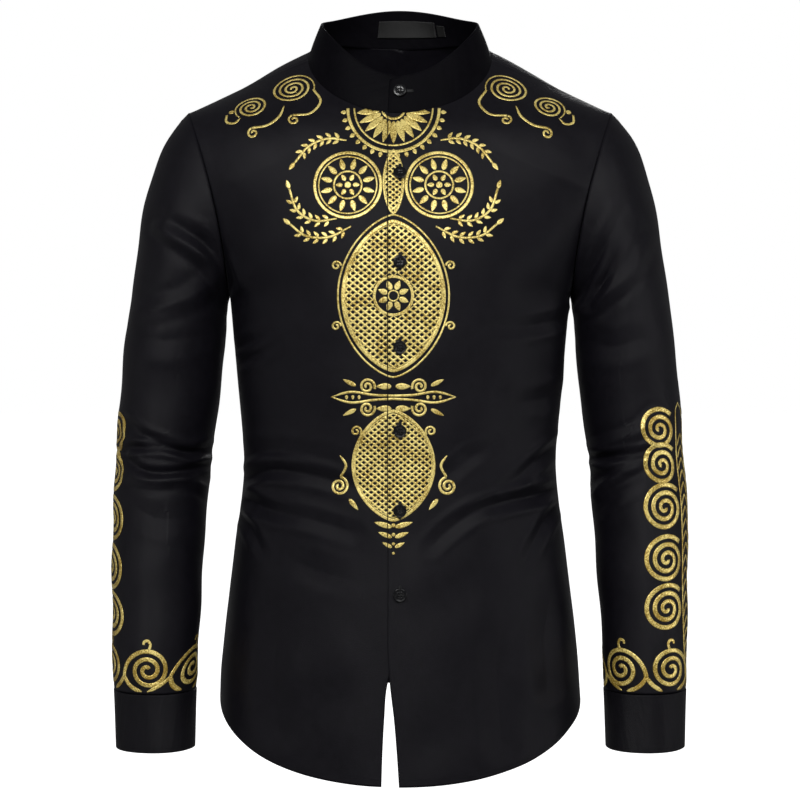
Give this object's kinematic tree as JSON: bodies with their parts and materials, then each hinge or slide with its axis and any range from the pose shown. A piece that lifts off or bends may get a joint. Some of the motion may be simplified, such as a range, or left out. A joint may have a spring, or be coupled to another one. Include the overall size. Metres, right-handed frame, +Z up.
{
  "type": "long-sleeved print shirt, filled out with no wearer",
  "caption": "Slim black long-sleeved shirt with a stand collar and buttoned front, gold foil ornament on the front, shoulders and lower sleeves, in its hollow worn form.",
  "frame": {"origin": "the middle of the neck opening, level with the points where the shoulder seams meet the collar, which is where a wearer or bust holds the shirt up", "axes": "+Z up along the body, the front faces -Y, and the wearer's left is at +X"},
  "size_m": [0.5908, 0.2484, 0.7906],
  "materials": {
    "shirt_cloth": "fine smooth black twill with a faint satin sheen",
    "label_satin": "black woven satin",
    "button_plastic": "polished black resin",
    "gold_foil": "thin heat-pressed gold foil print, softly creased with the cloth"
  },
  "bodies": {
    "root": {"front_left": "shirt_cloth", "front_right": "shirt_cloth", "back": "shirt_cloth", "sleeve_left": "shirt_cloth", "sleeve_right": "shirt_cloth", "cuff_left": "shirt_cloth", "cuff_right": "shirt_cloth", "collar": "shirt_cloth", "neck_label": "label_satin", "size_tab": "label_satin", "button_collar": "button_plastic", "button_1": "button_plastic", "button_2": "button_plastic", "button_3": "button_plastic", "button_4": "button_plastic", "button_5": "button_plastic", "button_6": "button_plastic", "button_cuff_left": "button_plastic", "button_cuff_right": "button_plastic"}
  },
  "joints": []
}
